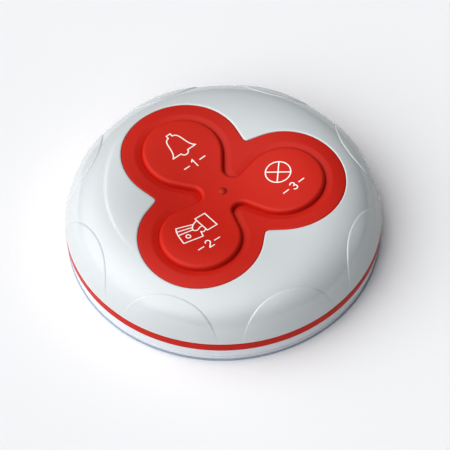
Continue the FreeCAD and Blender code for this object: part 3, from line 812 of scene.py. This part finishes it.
# ink on the keys
prints = {
    "width": 0.42,
    "film": 0.03,             # thickness of the ink
    "layer": 0.002,           # each stroke lies this much above the one before
    "sectionAcross": (-1, -0.85, 0, 0.85, 1, 0),    # a stroke's section, of half its width ...
    "sectionLift": (0, 0.8, 1, 0.8, 0, -1),         # ... and of the film
    "lineSteps": 14,
    "arcSteps": 12,           # at least, and one for each ...
    "arcPitch": 5,            # ... of these angles
    "capSteps": 6,
    "bell": (0.25, 19.7),     # places of the signs
    "notes": (-14.4, -5.9),
    "cross": (15.2, -5.75),
    "digits": {"1": (0.2, 12.1), "2": (-15.0, -12.4), "3": (15.1, -12.4)},
    "crossRadius": 3.5,
    "digitHeight": 2.5,
    "dash": (0.75, 1.45),     # ends of the dashes beside a digit, in digit heights
}


def line(first, last):
    # Evenly shared points from one end to the other.
    share = np.linspace(0, 1, prints["lineSteps"])[:, None]
    return np.array(first) + (np.array(last) - np.array(first)) * share


def arc(centre, radius, start, end, tall=1.0):
    # Points about a centre by cosine and sine, the sine stretched by tall.
    steps = max(prints["arcSteps"], int(abs(end - start) / prints["arcPitch"]))
    turn = np.radians(np.linspace(start, end, steps))
    return np.stack((centre[0] + radius * np.cos(turn),
                     centre[1] + radius * tall * np.sin(turn)), -1)


def stroke(path, place, scale, level):
    # A round-ended line of ink: a low cushion section carried along a flat path and laid on
    # the raised crown.
    width = prints["width"] / 2
    path = np.asarray(path) * scale + np.array(place)
    first, last = path[0] - path[1], path[-1] - path[-2]
    first, last = first / np.hypot(*first), last / np.hypot(*last)
    cap = np.sin(np.linspace(0, math.pi / 2, prints["capSteps"]))[1:]
    before = path[0] + first * (width * cap[::-1, None])
    after = path[-1] + last * (width * cap[:, None])
    spots = np.concatenate((before, path, after))
    taper = np.sqrt(1 - cap ** 2)
    breadth = width * np.concatenate((taper[::-1], np.ones(len(path)), taper))
    heading = np.gradient(spots, axis=0)
    heading /= np.maximum(np.hypot(*heading.T), 1e-9)[:, None]
    side = np.stack((-heading[:, 1], heading[:, 0]), -1)
    across = np.array(prints["sectionAcross"])
    lift = np.array(prints["sectionLift"]) * prints["film"] + level
    x = spots[:, :1] + side[:, :1] * breadth[:, None] * across
    y = spots[:, 1:] + side[:, 1:] * breadth[:, None] * across
    return gridMesh(x, y, keyTop(x, y) + lift, closeColumns=True)


def openPath(*corners):
    # Straight strokes from corner to corner.
    return [line(first, last) for first, last in zip(corners, corners[1:])]


bell = {
    "sides": ((0.68, 3.05), (3.1, 2.9), (1.75, -1.3), (4.0, -3.1)),    # poles, neck to hem
    "sideSteps": 30,
    "knobTop": 4.0,
    "clapper": 1.15,          # half the width of its bump ...
    "clapperTall": 0.85,      # ... and the bump's depth as a share of that
}


def bellStrokes():
    # A bell's outline: two flowing sides that mirror each other, a base line with the
    # clapper's bump, and the knob.
    (neckX, neckY), (hemX, hemY) = bell["sides"][0], bell["sides"][-1]
    clapper, top = bell["clapper"], bell["knobTop"]
    side = bezier(bell["sides"], bell["sideSteps"])
    bump = arc((0, hemY), clapper, 180, 360, bell["clapperTall"])
    return [side, side * np.array([-1, 1]), bump] + \
        openPath((-hemX, hemY), (-clapper, hemY)) + openPath((clapper, hemY), (hemX, hemY)) + \
        openPath((-neckX, neckY), (-neckX, top), (neckX, top), (neckX, neckY))


payment = {
    "frontNote": ((0.5, -1.7), (-0.1, -3.4), (-5.9, -2.2), (-5.3, 0.9), (-0.7, 0.1)),
    "middleNote": ((-5.3, 0.9), (-4.9, 2.1), (-0.3, 0.9)),
    "backNote": ((-4.9, 2.1), (-4.2, 3.2), (0.5, 1.6)),
    "thumb": (((2.2, 2.1), (0.4, 1.9), (-1.6, 0.3), (-0.5, -0.5)), 22),    # poles and steps
    "palm": (((-0.5, -0.5), (0.4, -1.1), (0.9, -0.1), (1.8, -0.3)), 16),
    "heel": (((0.5, -1.7), (1.0, -2.6), (1.7, -1.9), (2.2, -1.9)), 14),
    "ring": ((-3.3, -1.0), 0.62),                                         # on the front note
    "cuff": ((2.2, 2.9), (5.6, 2.9), (5.6, -2.4), (2.2, -2.4), (2.2, 2.9)),
}


def noteStrokes():
    # Three banknotes fanned out to the left in straight strokes, a hand over them in curves
    # and a cuff.
    notes = [edge for note in ("frontNote", "middleNote", "backNote")
             for edge in openPath(*payment[note])]
    hand = [bezier(*payment[part]) for part in ("thumb", "palm", "heel")]
    return notes + hand + [arc(*payment["ring"], 0, 360)] + openPath(*payment["cuff"])


def crossStrokes():
    # A circle with its two slanting diameters.
    radius = prints["crossRadius"]
    reach = radius * math.cos(math.radians(45))
    return [arc((0, 0), radius, 0, 360), line((-reach, -reach), (reach, reach)),
            line((-reach, reach), (reach, -reach))]


def digitStrokes(digit):
    # A digit of straights and arcs in a box one unit high, between two dashes.
    near, far = prints["dash"]
    dashes = [line((side * near, 0.0), (side * far, 0.0)) for side in (-1, 1)]
    if digit == "1":
        return dashes + openPath((-0.2, 0.28), (0.05, 0.5), (0.05, -0.5))
    if digit == "2":
        bow = arc((0, 0.22), 0.28, 165, -35)
        return dashes + [bow] + openPath(bow[-1], (-0.3, -0.5), (0.32, -0.5))
    return dashes + [arc((0, 0.25), 0.25, 150, -85), arc((0, -0.23), 0.28, 85, -150)]


def inkPiece(name, paths, place, body, scale=1.0):
    # All strokes of one sign as one piece, each a layer above the last so that none coincide.
    surfaces = [stroke(path, place, scale, prints["layer"] * order)
                for order, path in enumerate(paths)]
    makePiece(name, surfaces, ink, body)


inkPiece("bellPrint", bellStrokes(), prints["bell"], "call_button")
inkPiece("notesPrint", noteStrokes(), prints["notes"], "pay_button")
inkPiece("crossPrint", crossStrokes(), prints["cross"], "cancel_button")
for (digit, place), key in zip(prints["digits"].items(), keys):
    inkPiece("digit" + digit, digitStrokes(digit), place, key + "_button", prints["digitHeight"])


# The studio is in metres.  The dome is a light all round, whose strength climbs from base by
# peak as the dot product with towards goes from low to high.  The strip adds gain times that
# strength: it fades out over width beside the plane square to side, and over fade about middle.
studio = {
    "floor": {"reach": 30.0, "level": -0.0001, "tint": (238, 238, 239), "fall": (3, 3, 3),
              "cloud": (8.0, 3.0), "roughness": 0.8, "cloudShare": 0.1, "specular": 0.2},
    "dome": {"towards": (-0.510, 0.192, 0.839), "low": 0.34, "high": 0.96,
             "base": 0.02, "peak": 2.32, "tint": (0.985, 0.995, 1.0, 1.0)},
    "strip": {"side": (-0.9585, 0.2851, 0.0), "width": 0.034,
              "middle": (0.209, 0.701, 0.682), "fade": (0.955, 0.985), "gain": 3.2},
    "gamma": 0.68,
    "camera": {"yaw": -38.58, "elevation": 52.82, "roll": -1.83, "distance": 0.6988,
               "aim": (0.00162, 0.00137, 0.0), "lens": 199.3},
}


def layFloor():
    # A plain pale square just under the pad.
    look = studio["floor"]
    mesh = bpy.data.meshes.new("floor")
    signs = ((-1, -1), (1, -1), (1, 1), (-1, 1))
    corners = [(x * look["reach"], y * look["reach"], look["level"]) for x, y in signs]
    mesh.from_pydata(corners, [], [(0, 1, 2, 3)])
    finish = Finish("paleFloor", Specular_IOR_Level=look["specular"])
    cloud = finish.noise(*look["cloud"])
    mesh.materials.append(finish.done(Base_Color=finish.drift(cloud, look["tint"], look["fall"]),
                                      Roughness=look["roughness"] + look["cloudShare"] * cloud))
    floor = bpy.data.objects.new("floor", mesh)
    bpy.context.scene.collection.objects.link(floor)


def placeLights():
    # One broad soft light: its strength climbs with a smooth step of the dot product of a
    # direction and the light's own.  A narrow strip of it is brighter, near an upright plane and
    # round a direction in that plane, so that the glossy cover has something to mirror.
    world = bpy.data.worlds.new("studioWorld")
    world.use_nodes = True
    graph = Graph(world.node_tree, "Generated")
    dome, strip = studio["dome"], studio["strip"]

    def along(direction):
        # dot product of the direction looked in and the one given
        return graph.node("ShaderNodeVectorMath", output="Value",
                          settings={"operation": "DOT_PRODUCT"},
                          i0=graph.place, i1=Vector(direction).normalized())

    share = along(dome["towards"]).between(dome["low"], dome["high"])
    glow = 1.0 - along(strip["side"]).math("ABSOLUTE").between(0.0, strip["width"])
    glow = strip["gain"] * glow * along(strip["middle"]).between(*strip["fade"])
    lit = dome["base"] + dome["peak"] * share * share * (3.0 - 2.0 * share)
    graph.feed(world.node_tree.nodes["Background"], Color=dome["tint"],
               Strength=lit * (1.0 + glow))
    bpy.context.scene.world = world
    bpy.context.scene.view_settings.view_transform = "Standard"
    bpy.context.scene.view_settings.gamma = studio["gamma"]


def placeCamera():
    # The camera looks at the aim from its distance, at yaw and elevation, and rolls about that
    # line.
    view = studio["camera"]
    yaw, lift, roll = [math.radians(view[name]) for name in ("yaw", "elevation", "roll")]
    back = Vector((math.sin(yaw) * math.cos(lift), -math.cos(yaw) * math.cos(lift),
                   math.sin(lift)))
    right = Vector((math.cos(yaw), math.sin(yaw), 0))
    above = back.cross(right)
    across = right * math.cos(roll) + above * math.sin(roll)
    upward = above * math.cos(roll) - right * math.sin(roll)
    lens = bpy.data.cameras.new("camera")
    lens.lens = view["lens"]
    camera = bpy.data.objects.new("camera", lens)
    turning = Matrix((across, upward, back)).transposed().to_4x4()
    middle = Vector(view["aim"]) + back * view["distance"]
    camera.matrix_world = Matrix.Translation(middle) @ turning
    bpy.context.scene.collection.objects.link(camera)
    bpy.context.scene.camera = camera


layFloor()
placeLights()
placeCamera()
print("studio set")

bpy.context.view_layer.update()
